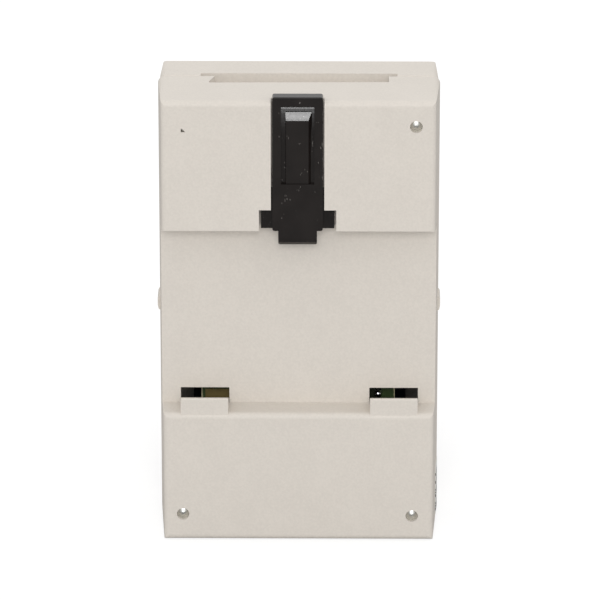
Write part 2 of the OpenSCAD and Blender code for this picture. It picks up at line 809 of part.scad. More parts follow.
// Flat chip with a row of legs on both sides
module chip(x, z, w, h, legs) {
    block(x - w / 2, x + w / 2, board_far + 0.1, board_far + 1.7, z - h / 2, z + h / 2);
    for (i = [0:legs - 1])
        block(x - w / 2 - 0.9, x + w / 2 + 0.9, board_far, board_far + 0.35,
            z - h / 2 + (i + 0.3) * h / legs, z - h / 2 + (i + 0.7) * h / legs);
}

module metering_chip() color(BLACK) chip(-5.5, 9, 5.3, 7.8, 10);
module microcontroller() color(BLACK) chip(5.5, 13.5, 7, 7, 12);

module crystal()
    color(STEEL)
        slab(board_far, board_far + 3.2)
            polygon(round_box(-2.4, 15.4, 0.7, 20.4, 0.8));

module optocouplers()
    color(BLACK)
        for (z = [72.4, 78.2])
            union() {
                block(8.6, 13.1, board_far + 0.5, board_far + 3.8, z - 2.3, z + 2.3);
                for (dz = [-1.27, 1.27])
                    block(8.2, 13.5, board_far, board_far + 1.6, z + dz - 0.3, z + dz + 0.3);
            }

// Folded ribbon between the two boards
module ribbon_cable()
    color([0.70, 0.71, 0.73])
        beam(9, 19)
            polygon([[52.6, 52.2], [47, 52.2], [34, 61.6], [25, 65.2], [16.6, 65.2], [16.6, 66], [25.2, 66],
                [34.5, 62.4], [47.4, 53], [52.6, 53]]);

module ribbon_connectors()
    color(BLACK)
        union() {
            difference() {
                block(8.2, 19.8, 50.8, display_board_near, 50.6, 54.6);
                block(8.9, 19.1, 50, 52.6, 52.1, 53.1);
            }
            difference() {
                block(7.9, 19, board_far, 18.4, 63.6, 67.6);
                block(8.9, 19.1, 16.6, 19, 65.1, 66.1);
            }
        }

// ---- Auxiliary terminals ----

module aux_terminal_block()
    color([0.20, 0.45, 0.30])
        difference() {
            beam(aux_x - 7.6, aux_x + 7.6)
                polygon([[29, 67.6], [42.9, 67.6], [42.9, 76.9], [32.5, 81.6], [29, 81.6]]);
            for (i = [0:3]) {
                x = aux_x + (i - 1.5) * aux_pitch;
                translate([x, rear - 36, 70])
                    cylinder(d = 2.6, h = 12);
                block(x - 0.8, x + 0.8, 38, 44, 70.6, 73.4);
            }
        }

module aux_contacts()
    color(COPPER)
        for (i = [0:3]) {
            x = aux_x + (i - 1.5) * aux_pitch;
            block(x - 0.6, x + 0.6, 27, 29, 69, 69.6);
            block(x - 0.6, x + 0.6, 38.1, 38.5, 71, 73.2);
        }

// ---- Moving pieces ----

// Rear view of the latch: body above and nose below
module latch_outline() {
    polygon(round_box(-latch_w / 2, channel_high + 0.1, latch_w / 2, latch_top, 0.4));
    polygon(round_box(-nose_half, latch_tip, nose_half, channel_high + 2, 0.35));
}

// Side view of the latch: a flat plate, with a nose bevelled to snap over the rail
module latch_side()
    polygon(concat(
        [[0.06, latch_tip + 1.5], [0.3, latch_tip + 0.6], [0.8, latch_tip], [2.2, latch_tip],
            [hook_gap_d, latch_tip + 2.2], [hook_gap_d, channel_high - 0.25], [wing_far, channel_high - 0.1],
            [wing_far, wing_top], [latch_back, wing_top + 1], [latch_back, latch_top]],
        arc(0.26, latch_top - 0.2, 0.2, 90, 180, 4)));

module latch_plate()
    union() {
        intersection() {
            beam(-latch_w, latch_w) latch_side();
            slab(-1, channel_d) latch_outline();
        }
        block(-wing_half, wing_half, wing_near, wing_far, channel_high, wing_top);
    }

// Recess in the latch's rear face, undercut below, with a floor that curves away at the top
module latch_window()
    beam(-3.1, 3.1)
        polygon(concat([[-1, 72.1], [0.75, 71.4]], arc(20.75, 80.29, 20, 180, 161, 8), [[-1, 86.8]]));

// Spring tongue standing in the recess, with a sloping top and one bevelled side
module latch_tongue()
    intersection() {
        beam(-3, 3)
            polygon(concat([[2.1, 71.5], [0.3, 71.5]], arc(15.28, 79.04, 15.8, 161.5, 155.5, 4),
                [[2.1, 85.59]]));
        column(71, 86)
            polygon([[-2.02, 0.3], [2.15, 0.3], [2.25, 0.6], [2.35, 2.3], [-2.75, 2.3], [-2.65, 0.95]]);
    }

module rail_latch()
    color(BLACK)
        translate([latch_x, 0, 0]) {
            difference() {
                latch_plate();
                latch_window();
            }
            latch_tongue();
        }

// Flap with hinge pins at its upper edge and a seal eye below
module terminal_cover()
    color(BEIGE)
        difference() {
            union() {
                beam(-cover_half, cover_half)
                    polygon(concat([[cover_near, 9.4], [cover_near, hinge_low + 0.6]],
                        arc(hinge_d, hinge_low, 0.95, 140, 0, 8), [[cover_near + cover_t, 9.4]]));
                slab(cover_near, cover_near + cover_t)
                    polygon([[-3, 10], [-3, 6.4], [-2.2, 5.6], [2.2, 5.6], [3, 6.4], [3, 10]]);
                both_sides()
                    cross_rod(cover_half - 0.5, cover_half + 1.1, hinge_d, hinge_low, hinge_r);
            }
            rod(0, 7.2, 0.9, cover_near - 1, cover_near + cover_t + 1);
        }

// Flap over the auxiliary terminals
module aux_cover()
    color(BEIGE)
        union() {
            beam(-cover_half, cover_half)
                polygon(concat([[cover_near, nose_high + 0.7], [cover_near, hinge_high + 0.6]],
                    arc(hinge_d, hinge_high, 0.95, 140, 0, 8), [[cover_near + cover_t, nose_high + 0.7]]));
            both_sides()
                cross_rod(cover_half - 0.5, cover_half + 1.1, hinge_d, hinge_high, hinge_r);
        }

// ---- Nodes ----

rear_shell();
front_shell();
housing_screws();
side_label();
display_window();
face_film();
lcd_glass();
lcd_frame();
display_board();
key_mat();
pulse_led();
status_led();
buzzer();
terminal_block();
line_busbar();
load_busbar();
neutral_busbar();
shunt();
current_transformer();
disconnect_relay();
main_board();
board_screws();
solder_joints();
mains_transformer();
suppression_capacitor();
varistor();
electrolytic_capacitors();
backup_cell();
metering_chip();
microcontroller();
crystal();
optocouplers();
ribbon_cable();
ribbon_connectors();
aux_terminal_block();
aux_contacts();
rail_latch();
terminal_cover();
aux_cover();
for (i = [0:11])
    key_cap(i);
for (i = [0:3])
    clamp_cage(i);
for (i = [0:3])
    clamp_screw(i);
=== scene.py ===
"""Looks of a rail-mounted prepaid electricity meter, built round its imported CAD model.

The meter stands on a pale floor and is seen from behind and a little above, before it is clipped to its rail.
Lengths are in metres, and in millimetres where a name ends in _mm or where they are multiplied by MM.
A depth is measured from the rearmost plane towards the display, as in the CAD source.
"""

import math
from random import Random

import bpy
from mathutils import Matrix, Vector


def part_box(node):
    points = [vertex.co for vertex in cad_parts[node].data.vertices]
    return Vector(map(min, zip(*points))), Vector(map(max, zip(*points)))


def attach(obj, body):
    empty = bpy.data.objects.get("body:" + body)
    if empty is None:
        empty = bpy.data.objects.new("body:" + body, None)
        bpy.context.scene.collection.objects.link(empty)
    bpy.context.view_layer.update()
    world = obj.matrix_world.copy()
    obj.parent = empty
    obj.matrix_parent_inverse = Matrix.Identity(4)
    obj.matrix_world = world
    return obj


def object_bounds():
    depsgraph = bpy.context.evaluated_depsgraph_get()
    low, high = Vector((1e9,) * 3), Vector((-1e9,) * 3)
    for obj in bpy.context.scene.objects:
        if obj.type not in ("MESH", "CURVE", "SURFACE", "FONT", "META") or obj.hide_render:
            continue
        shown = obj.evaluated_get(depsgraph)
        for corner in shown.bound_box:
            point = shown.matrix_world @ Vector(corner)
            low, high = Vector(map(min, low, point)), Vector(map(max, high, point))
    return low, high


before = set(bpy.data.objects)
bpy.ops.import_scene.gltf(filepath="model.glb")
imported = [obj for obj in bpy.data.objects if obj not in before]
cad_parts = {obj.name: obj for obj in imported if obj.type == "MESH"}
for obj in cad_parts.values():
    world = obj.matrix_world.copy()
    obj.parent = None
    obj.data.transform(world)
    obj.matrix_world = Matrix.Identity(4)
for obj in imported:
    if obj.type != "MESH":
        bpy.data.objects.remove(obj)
CAD_LOW, CAD_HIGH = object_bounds()

MM = 0.001
REAR = CAD_HIGH.y
CASE = "case"
TERMINALS = range(1, 5)


# ---- Camera, light and floor ----

CAMERA_AZIMUTH = 180.49
CAMERA_ELEVATION = 20.7
CAMERA_DISTANCE = 1.0126
CAMERA_LENS = 324.9
CAMERA_SENSOR = 36
CAMERA_CLIP = (0.05, 20)
CAMERA_TARGET = Vector((-0.0003, REAR, 0.0488))

LIGHT_TARGET = Vector((0, 0, 0.045))
LIGHT_DISTANCE = 1.6
KEY_ELEVATION = 25
KEY_SIZE = 0.42
KEY_WATTS = 7.07
FRONT_ELEVATION = 45
FRONT_SIZE = 0.8
FRONT_WATTS = 2.2
TENT_STRENGTH = 0.861

FLOOR_HALF = 3
FLOOR_DROP = 0.02 * MM
FLOOR_GLOW = 0.70
FLOOR_SEEN = (0.36, 0.36, 0.36)
FLOOR_MIRRORED = (0.25, 0.25, 0.25)
FLOOR_BOUNCE = (0.6, 0.6, 0.6)


def direction(azimuth, elevation):
    """Unit vector from the object towards a viewer; azimuth 0 is in front of the display."""
    a, e = math.radians(azimuth), math.radians(elevation)
    return Vector((math.sin(a) * math.cos(e), -math.cos(a) * math.cos(e), math.sin(e)))


def add_camera():
    data = bpy.data.cameras.new("camera")
    data.lens = CAMERA_LENS
    data.sensor_width = CAMERA_SENSOR
    data.clip_start, data.clip_end = CAMERA_CLIP
    camera = bpy.data.objects.new("camera", data)
    bpy.context.scene.collection.objects.link(camera)
    back = direction(CAMERA_AZIMUTH, CAMERA_ELEVATION)
    camera.location = CAMERA_TARGET + back * CAMERA_DISTANCE
    camera.rotation_euler = (-back).to_track_quat("-Z", "Y").to_euler()
    bpy.context.scene.camera = camera


def add_area(name, azimuth, elevation, size, watts):
    """White soft box that faces the middle of the object."""
    data = bpy.data.lights.new(name, "AREA")
    data.shape = "SQUARE"
    data.size = size
    data.energy = watts
    lamp = bpy.data.objects.new(name, data)
    bpy.context.scene.collection.objects.link(lamp)
    back = direction(azimuth, elevation)
    lamp.location = LIGHT_TARGET + back * LIGHT_DISTANCE
    lamp.rotation_euler = (-back).to_track_quat("-Z", "Y").to_euler()


def add_world():
    """Bright tent of light, shown to the camera as plain white."""
    world = bpy.data.worlds.new("studio")
    world.use_nodes = True
    tree = world.node_tree
    background = tree.nodes["Background"]
    background.inputs["Color"].default_value = (1, 1, 1, 1)
    seen = tree.nodes.new("ShaderNodeLightPath").outputs["Is Camera Ray"]
    strength = tree.nodes.new("ShaderNodeMapRange")
    strength.inputs["To Min"].default_value = TENT_STRENGTH
    strength.inputs["To Max"].default_value = 1.0
    tree.links.new(seen, strength.inputs["Value"])
    tree.links.new(strength.outputs["Result"], background.inputs["Strength"])
    bpy.context.scene.world = world


def add_floor():
    """Pale floor that lights the object softly from below and looks nearly white itself."""
    mesh = bpy.data.meshes.new("floor")
    corners = [(-FLOOR_HALF, -FLOOR_HALF, 0), (FLOOR_HALF, -FLOOR_HALF, 0),
               (FLOOR_HALF, FLOOR_HALF, 0), (-FLOOR_HALF, FLOOR_HALF, 0)]
    mesh.from_pydata(corners, [], [(0, 1, 2, 3)])
    floor = bpy.data.objects.new("floor", mesh)
    bpy.context.scene.collection.objects.link(floor)
    floor.location.z = CAD_LOW.z - FLOOR_DROP
    paint = Paint("floor_white").set(roughness=0.9, specular=0.0)
    path = paint.node("ShaderNodeLightPath")
    seen, mirrored = path.outputs["Is Camera Ray"], path.outputs["Is Glossy Ray"]
    paint.color(paint.mix(seen, paint.mix(mirrored, FLOOR_BOUNCE, FLOOR_MIRRORED), FLOOR_SEEN))
    paint.shader.inputs["Emission Color"].default_value = (1, 1, 1, 1)
    paint.put(paint.product(seen, FLOOR_GLOW), paint.shader.inputs["Emission Strength"])
    floor.data.materials.append(paint.material)


def add_studio():
    add_area("key", 180, KEY_ELEVATION, KEY_SIZE, KEY_WATTS)
    add_area("front_fill", 0, FRONT_ELEVATION, FRONT_SIZE, FRONT_WATTS)
    add_world()
    add_floor()
    bpy.context.scene.view_settings.view_transform = "Standard"


# ---- Materials ----

class Paint:
    """A material under construction: a principled shader and the nodes that feed it."""

    def __init__(self, name):
        self.material = bpy.data.materials.new(name)
        self.material.use_nodes = True
        self.tree = self.material.node_tree
        self.shader = self.tree.nodes["Principled BSDF"]
        self.place = self.tree.nodes.new("ShaderNodeTexCoord").outputs["Object"]

    def node(self, kind, **values):
        made = self.tree.nodes.new(kind)
        for key, value in values.items():
            setattr(made, key, value)
        return made

    def put(self, value, socket):
        """Sets a socket to a number or a colour, or links another socket to it."""
        if isinstance(value, tuple):
            socket.default_value = (*value, 1)
        elif isinstance(value, (int, float)):
            socket.default_value = value
        else:
            self.tree.links.new(value, socket)

    def set(self, color=None, roughness=None, metallic=None, specular=None, coat=None, transmission=None):
        """Sets what is the same all over the surface."""
        names = {"Base Color": color, "Roughness": roughness, "Metallic": metallic,
                 "Specular IOR Level": specular, "Coat Weight": coat, "Transmission Weight": transmission}
        for name, value in names.items():
            if value is not None:
                self.put(value, self.shader.inputs[name])
        return self

    def noise(self, size_mm, detail, stretch=None):
        """Noise whose features are about size_mm across, as a value from 0 to 1."""
        made = self.node("ShaderNodeTexNoise")
        made.inputs["Scale"].default_value = 1 / (size_mm * MM)
        made.inputs["Detail"].default_value = detail
        place = self.place
        if stretch:
            mapping = self.node("ShaderNodeMapping")
            mapping.inputs["Scale"].default_value = stretch
            self.put(self.place, mapping.inputs["Vector"])
            place = mapping.outputs["Vector"]
        self.put(place, made.inputs["Vector"])
        return made.outputs["Fac"]

    def cells(self, size_mm):
        """Distance to the middle of the nearest random cell, for sparse specks."""
        made = self.node("ShaderNodeTexVoronoi")
        made.inputs["Scale"].default_value = 1 / (size_mm * MM)
        self.put(self.place, made.inputs["Vector"])
        return made.outputs["Distance"]

    def ramp(self, value, stops):
        """Colour or grey ramp through (position, colour) stops."""
        made = self.node("ShaderNodeValToRGB")
        while len(made.color_ramp.elements) < len(stops):
            made.color_ramp.elements.new(0.5)
        for element, (position, colour) in zip(made.color_ramp.elements, stops):
            element.position = position
            element.color = (*colour, 1) if isinstance(colour, tuple) else (colour, colour, colour, 1)
        self.put(value, made.inputs["Fac"])
        return made.outputs["Color"]

    def math(self, operation, a, b=None, c=None):
        made = self.node("ShaderNodeMath", operation=operation)
        for socket, value in zip(made.inputs, (a, b, c)):
            if value is not None:
                self.put(value, socket)
        return made.outputs[0]

    def above(self, value, limit):
        return self.math("GREATER_THAN", value, limit)

    def below(self, value, limit):
        return self.math("LESS_THAN", value, limit)

    def product(self, a, b):
        return self.math("MULTIPLY", a, b)

    def axis(self, letter):
        """One coordinate of the surface point, in millimetres."""
        made = self.node("ShaderNodeSeparateXYZ")
        self.put(self.place, made.inputs[0])
        return self.product(made.outputs[letter], 1000)

    def mix(self, amount, a, b, blend_type="MIX"):
        """Blends two colours, each a tuple or a socket, by an amount from 0 to 1."""
        made = self.node("ShaderNodeMix", data_type="RGBA", blend_type=blend_type)
        self.put(amount, made.inputs["Factor"])
        for name, value in (("A", a), ("B", b)):
            self.put(value, next(s for s in made.inputs if s.name == name and s.type == "RGBA"))
        return next(s for s in made.outputs if s.type == "RGBA")

    def color(self, socket):
        self.put(socket, self.shader.inputs["Base Color"])

    def rough(self, value, low, high):
        """Roughness that runs from low to high with a value from 0 to 1."""
        self.put(self.math("ADD", self.product(value, high - low), low), self.shader.inputs["Roughness"])

    def bump(self, height, depth_mm):
        made = self.node("ShaderNodeBump")
        made.inputs["Strength"].default_value = 1
        made.inputs["Distance"].default_value = depth_mm * MM
        self.put(height, made.inputs["Height"])
        self.put(made.outputs["Normal"], self.shader.inputs["Normal"])


def scaled(colour, factor):
    """A lighter or darker version of a colour, no brighter than white."""
    return tuple(min(1, c * factor) for c in colour)


def grained_plastic(name, colour, grain_mm=0.42, depth_mm=0.012, roughness=(0.50, 0.62), variation=0.03):
    """Moulded plastic with a spark-eroded grain and faint clouds of tone."""
    paint = Paint(name).set(specular=0.35)
    cloud_mm, cloud_share = 6.0, 0.28
    clouds = paint.math("ADD", paint.product(paint.noise(cloud_mm, 2), cloud_share),
                        paint.product(paint.noise(grain_mm, 2), 1 - cloud_share))
    paint.color(paint.ramp(clouds, [(0.36, scaled(colour, 1 - variation)), (0.64, scaled(colour, 1 + variation))]))
    grain = paint.noise(grain_mm, 3)
    paint.rough(grain, *roughness)
    paint.bump(grain, depth_mm)
    return paint.material


def dusty_black(name):
    """Smooth black moulding with a painted sheen in random patches and a few specks and hairs of pale dust."""
    paint = Paint(name).set(specular=0.5)
    deep_black, painted_sheen, dust_colour = (0.0112, 0.0086, 0.0076), (0.0150, 0.0118, 0.0105), (0.30, 0.28, 0.26)
    # Painted sheen: noise lifts the black to a lighter tone in random patches, standing in for light glancing off it.
    body = paint.ramp(paint.noise(3.0, 3), [(0.35, deep_black), (0.68, painted_sheen)])
    specks = paint.product(paint.below(paint.cells(0.9), 0.065), paint.above(paint.noise(2.2, 1), 0.60))
    upright = (1, 1, 0.22)
    lint = paint.product(paint.above(paint.noise(0.16, 0, upright), 0.76), paint.above(paint.noise(1.7, 1), 0.62))
    lint_strength = 0.45
    dust = paint.math("MAXIMUM", specks, paint.product(lint, lint_strength))
    paint.color(paint.mix(dust, body, dust_colour))
    paint.rough(paint.noise(0.5, 2), 0.16, 0.26)
    paint.bump(paint.noise(0.3, 2), 0.003)
    return paint.material


def plain_plastic(name, colour, roughness=(0.38, 0.5), grain_mm=0.3, depth_mm=0.005, variation=0.06, coat=None):
    """Smooth or satin plastic with a fine grain and faint uneven tone."""
    paint = Paint(name).set(specular=0.45, coat=coat)
    darker, lighter = scaled(colour, 1 - variation), scaled(colour, 1 + variation)
    paint.color(paint.ramp(paint.noise(1.8, 3), [(0.35, darker), (0.66, lighter)]))
    grain = paint.noise(grain_mm, 2)
    paint.rough(grain, *roughness)
    paint.bump(grain, depth_mm)
    return paint.material


def metal(name, colour, roughness=(0.22, 0.4), grain_mm=0.35, depth_mm=0.006, stretch=None, variation=0.12):
    """Plated or bare metal with a fine grain, slightly stained in places."""
    paint = Paint(name).set(metallic=1.0)
    grain = paint.noise(grain_mm, 3, stretch)
    paint.color(paint.ramp(paint.noise(1.1, 3), [(0.3, scaled(colour, 1 - variation)), (0.7, colour)]))
    paint.rough(grain, *roughness)
    paint.bump(grain, depth_mm)
    return paint.material


def board(name, mask, weave):
    """Circuit board: solder mask with the glass weave showing through."""
    paint = Paint(name).set(specular=0.5, coat=0.25)
    x, z = paint.axis("X"), paint.axis("Z")
    radians_per_mm = 14
    threads = paint.math("ADD", paint.math("SINE", paint.product(x, radians_per_mm)),
                         paint.math("SINE", paint.product(z, radians_per_mm)))
    tone = paint.ramp(paint.math("MULTIPLY_ADD", threads, 0.2, 0.5), [(0.2, mask), (0.9, weave)])
    shade = paint.ramp(paint.noise(4.0, 2), [(0.3, 0.82), (0.7, 1.0)])
    paint.color(paint.mix(1, tone, shade, "MULTIPLY"))
    paint.rough(paint.noise(0.8, 2), 0.28, 0.44)
    paint.bump(paint.noise(0.5, 2), 0.004)
    return paint.material


def printed_label(name, low_mm=1.6, high_mm=10.6):
    """White label with plain bars of uneven thickness across it, between two heights."""
    paint = Paint(name).set(specular=0.3)
    z = paint.axis("Z")
    level_only, paper, ink = (0, 0, 1), (0.78, 0.78, 0.76), (0.02, 0.02, 0.02)
    bars = paint.above(paint.noise(0.55, 0, level_only), 0.5)
    inside = paint.product(paint.below(z, high_mm), paint.above(z, low_mm))
    paint.color(paint.mix(paint.product(bars, inside), paper, ink))
    paint.rough(paint.noise(0.4, 2), 0.5, 0.65)
    paint.bump(paint.noise(0.25, 2), 0.003)
    return paint.material


def clear(name, tint, roughness=0.06):
    """Clear moulded plastic, barely uneven."""
    paint = Paint(name).set(color=tint, roughness=roughness, transmission=1.0, specular=0.5)
    paint.shader.inputs["IOR"].default_value = 1.49
    paint.bump(paint.noise(6.0, 1), 0.01)
    return paint.material


SHELL = grained_plastic("shell_beige", (0.676, 0.629, 0.570))
COVER = grained_plastic("cover_beige", (0.676, 0.629, 0.570), 0.4, 0.010)
LATCH = dusty_black("latch_black")
STEEL = metal("screw_steel", (0.84, 0.84, 0.80), (0.24, 0.40))
CAGE = metal("cage_passivated", (0.62, 0.58, 0.46), (0.3, 0.45))
COPPER = metal("busbar_copper", (0.80, 0.42, 0.25), (0.25, 0.42), stretch=(1, 1, 0.2))
RESISTIVE = metal("shunt_alloy", (0.42, 0.36, 0.29), (0.3, 0.5))
SOLDER = metal("solder_bright", (0.80, 0.80, 0.83), (0.08, 0.18), 0.6, 0.004, variation=0.05)
BOARD = board("board_green", (0.045, 0.074, 0.026), (0.069, 0.105, 0.038))
POUR = plain_plastic("masked_copper_olive", (0.208, 0.158, 0.060), (0.28, 0.40), 0.5, 0.004, 0.10, coat=0.25)
BARE_MASK = plain_plastic("dark_mask", (0.020, 0.024, 0.012), (0.30, 0.42), 0.5, 0.004, 0.10, coat=0.25)
LAMINATE = plain_plastic("bare_laminate", (0.46, 0.43, 0.27), (0.5, 0.65), 0.25, 0.012, 0.15)
WINDOW = clear("window_clear", (0.93, 0.96, 0.97))
LCD = plain_plastic("lcd_green_grey", (0.36, 0.42, 0.30), (0.12, 0.2), 1.5, 0.002, 0.03)
SEGMENT = plain_plastic("lcd_segment", (0.018, 0.022, 0.026), (0.15, 0.25), 1.0, 0.002)
GHOST = plain_plastic("lcd_segment_off", (0.315, 0.37, 0.265), (0.12, 0.2), 1.5, 0.002, 0.03)
WHITE = plain_plastic("light_guide_white", (0.80, 0.80, 0.76))
FILM = plain_plastic("film_slate", (0.105, 0.135, 0.165), (0.34, 0.46), 0.2, 0.004, 0.03)
FILM_PRINT = plain_plastic("film_print_pale", (0.62, 0.63, 0.62), (0.34, 0.46), 0.2, 0.003, 0.02)
LABEL = printed_label("label_printed")
MAT = plain_plastic("silicone_mat", (0.05, 0.052, 0.058), (0.55, 0.7), 0.4, 0.006)
KEY = plain_plastic("key_pale_grey", (0.47, 0.48, 0.48), (0.4, 0.52), 0.22, 0.005, 0.02)
KEY_ACCENT = plain_plastic("key_green", (0.05, 0.22, 0.13), (0.4, 0.52), 0.22, 0.005, 0.04)
KEY_CLEAR = plain_plastic("key_amber", (0.62, 0.27, 0.03), (0.4, 0.52), 0.22, 0.005, 0.03)
PRINT_DARK = plain_plastic("key_print_dark", (0.03, 0.033, 0.04), (0.4, 0.5), 0.2, 0.002)
PRINT_WHITE = plain_plastic("key_print_white", (0.80, 0.80, 0.78), (0.4, 0.5), 0.2, 0.002)
RED_LED = plain_plastic("led_red", (0.55, 0.02, 0.015), (0.15, 0.22), 1.0, 0.002, 0.04, coat=0.4)
GREEN_LED = plain_plastic("led_green", (0.03, 0.36, 0.07), (0.15, 0.22), 1.0, 0.002, 0.04, coat=0.4)
DARK = plain_plastic("dark_moulding", (0.035, 0.036, 0.040))
AUX = plain_plastic("aux_green", (0.03, 0.22, 0.09))
YELLOW = plain_plastic("capacitor_yellow", (0.62, 0.36, 0.02))
BLUE = plain_plastic("varistor_blue", (0.02, 0.08, 0.32), (0.2, 0.32), 0.5, 0.012)
SLEEVE = plain_plastic("can_sleeve", (0.02, 0.024, 0.075), (0.2, 0.3))
CELL = plain_plastic("cell_sleeve", (0.04, 0.19, 0.40), (0.2, 0.3))
TAPE = plain_plastic("winding_tape", (0.60, 0.44, 0.08), (0.2, 0.34))
TOROID = plain_plastic("toroid_case", (0.02, 0.05, 0.18))
RIBBON = plain_plastic("ribbon_grey", (0.42, 0.43, 0.45))

NODE_MATERIALS = {
    "rear_shell": SHELL, "front_shell": SHELL, "terminal_cover": COVER, "aux_cover": COVER,
    "rail_latch": LATCH, "housing_screws": STEEL, "side_label": LABEL, "display_window": WINDOW,
    "face_film": FILM, "lcd_glass": LCD, "lcd_frame": WHITE, "display_board": BOARD, "key_mat": MAT,
    "pulse_led": RED_LED, "status_led": GREEN_LED, "buzzer": DARK, "terminal_block": DARK,
    "line_busbar": COPPER, "load_busbar": COPPER, "neutral_busbar": COPPER, "shunt": RESISTIVE,
    "current_transformer": TOROID, "disconnect_relay": DARK, "main_board": BOARD, "board_screws": STEEL,
    "solder_joints": SOLDER, "mains_transformer": TAPE, "suppression_capacitor": YELLOW, "varistor": BLUE,
    "electrolytic_capacitors": SLEEVE, "backup_cell": CELL, "metering_chip": DARK, "microcontroller": DARK,
    "crystal": STEEL, "optocouplers": DARK, "ribbon_cable": RIBBON, "ribbon_connectors": DARK,
    "aux_terminal_block": AUX, "aux_contacts": COPPER,
}
DIGIT_KEYS = "1234567890"
NODE_MATERIALS.update({f"key_{k}": KEY for k in DIGIT_KEYS})
NODE_MATERIALS.update({"key_clear": KEY_CLEAR, "key_enter": KEY_ACCENT})
NODE_MATERIALS.update({f"clamp_cage_{n}": CAGE for n in TERMINALS})
NODE_MATERIALS.update({f"clamp_screw_{n}": STEEL for n in TERMINALS})


def paint_nodes():
    """Gives every CAD node its material."""
    for name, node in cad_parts.items():
        node.data.materials.clear()
        node.data.materials.append(NODE_MATERIALS[name])


# ---- Pieces ----

def add_piece(name, mesh, material, body):
    """Puts a finished mesh in the scene, on one of the moving bodies."""
    mesh.materials.clear()
    mesh.materials.append(material)
    piece = bpy.data.objects.new(name, mesh)
    bpy.context.scene.collection.objects.link(piece)
    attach(piece, body)


def add_mesh(name, points, faces, material, body):
    mesh = bpy.data.meshes.new(name)
    mesh.from_pydata(points, [], faces)
    mesh.validate()
    add_piece(name, mesh, material, body)


def plates(name, outlines, face_y, thickness, material, body=CASE, towards=-1):
    """Thin raised plates on a surface that faces -Y, or +Y where towards is 1.

    The outlines are lists of (x, z) points in metres, anticlockwise as seen from the front of the meter.
    """
    points, faces = [], []
    for outline in outlines:
        if towards > 0:
            outline = outline[::-1]
        first, count = len(points), len(outline)
        points += [(x, face_y, z) for x, z in outline]
        points += [(x, face_y + towards * thickness, z) for x, z in outline]
        faces.append([first + i for i in range(count)][::-1])
        faces.append([first + count + i for i in range(count)])
        for i in range(count):
            j = (i + 1) % count
            faces.append([first + i, first + j, first + count + j, first + count + i])
    add_mesh(name, points, faces, material, body)


def bar(x, z, width, height):
    """Rectangle outline by its middle and size."""
    return [(x - width / 2, z - height / 2), (x + width / 2, z - height / 2),
            (x + width / 2, z + height / 2), (x - width / 2, z + height / 2)]


def middle(node):
    """The middle of a CAD node's box."""
    low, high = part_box(node)
    return (low + high) / 2


def front_of(node):
    """The y of a CAD node's surface that faces the display side."""
    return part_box(node)[0].y


# Which of the seven segments each digit lights, in the order top, upper right, lower right, bottom,
# lower left, upper left, middle.
SEGMENTS = {"0": "1111110", "1": "0110000", "2": "1101101", "3": "1111001", "4": "0110011",
            "5": "1011011", "6": "1011111", "7": "1110000", "8": "1111111", "9": "1111011"}


def segment_outlines(x, z, width, height, stroke):
    """The seven segments of a digit whose middle is at (x, z), leaning a little to the right."""
    half_w, half_h, lean = width / 2, height / 2, 0.10
    tip, side = stroke * 0.42, stroke / 2
    shoulder = tip + side

    def across(cz):
        return [(-half_w + tip, cz), (-half_w + shoulder, cz - side), (half_w - shoulder, cz - side),
                (half_w - tip, cz), (half_w - shoulder, cz + side), (-half_w + shoulder, cz + side)]

    def upright(cx, low):
        high = low + half_h
        return [(cx, low + tip), (cx + side, low + shoulder), (cx + side, high - shoulder),
                (cx, high - tip), (cx - side, high - shoulder), (cx - side, low + shoulder)]

    shapes = [across(half_h), upright(half_w, 0), upright(half_w, -half_h), across(-half_h),
              upright(-half_w, -half_h), upright(-half_w, 0), across(0)]
    return [[(x + px + pz * lean, z + pz) for px, pz in shape] for shape in shapes]


def add_display():
    """Digits and small marks on the liquid crystal, some of them unlit."""
    window = middle("display_window")
    marks = {True: [], False: []}
    add_reading(marks, window, "001846", 3)
    small_marks_z = window.z + 4.15 * MM
    add_signal_bars(marks, window.x - 14.6 * MM, small_marks_z)
    add_cell_mark(marks, window.x + 13.2 * MM, small_marks_z)
    face = front_of("lcd_glass")
    plates("lcd_marks_on", marks[True], face, 0.03 * MM, SEGMENT)
    plates("lcd_marks_off", marks[False], face, 0.02 * MM, GHOST)


def add_reading(marks, window, reading, point_after):
    """Seven-segment digits with a point after each, one of which is lit."""
    pitch, width, height, stroke, point = 4.9 * MM, 2.9 * MM, 6.4 * MM, 0.62 * MM, 0.6 * MM
    digits_z, points_z = window.z - 0.9 * MM, window.z - 4.0 * MM
    columns = [window.x + (i - (len(reading) - 1) / 2) * pitch for i in range(len(reading))]
    for x, digit in zip(columns, reading):
        for shape, lit in zip(segment_outlines(x, digits_z, width, height, stroke), SEGMENTS[digit]):
            marks[lit == "1"].append(shape)
    for i, x in enumerate(columns):
        marks[i == point_after].append(bar(x + pitch / 2 - 0.35 * MM, points_z, point, point))


def add_signal_bars(marks, x, z, count=5, lit=3):
    """Bars of rising height that stand on one line, some of them lit."""
    pitch, width, lowest, rise = 0.95 * MM, 0.6 * MM, 0.7 * MM, 0.24 * MM
    for i in range(count):
        marks[i < lit].append(bar(x + i * pitch, z + (i - count + 1) * rise / 2, width, lowest + i * rise))


def add_cell_mark(marks, x, z):
    """Outline of a battery with its terminal and three charge bars, each by its middle and size."""
    for dx, dz, w, h in ((0, 0.65, 3.4, 0.22), (0, -0.65, 3.4, 0.22), (-1.6, 0, 0.22, 1.2), (1.6, 0, 0.22, 1.2),
                         (1.95, 0, 0.3, 0.6), (-1.0, 0, 0.6, 0.75), (-0.2, 0, 0.6, 0.75), (0.6, 0, 0.6, 0.75)):
        marks[True].append(bar(x + dx * MM, z + dz * MM, w * MM, h * MM))


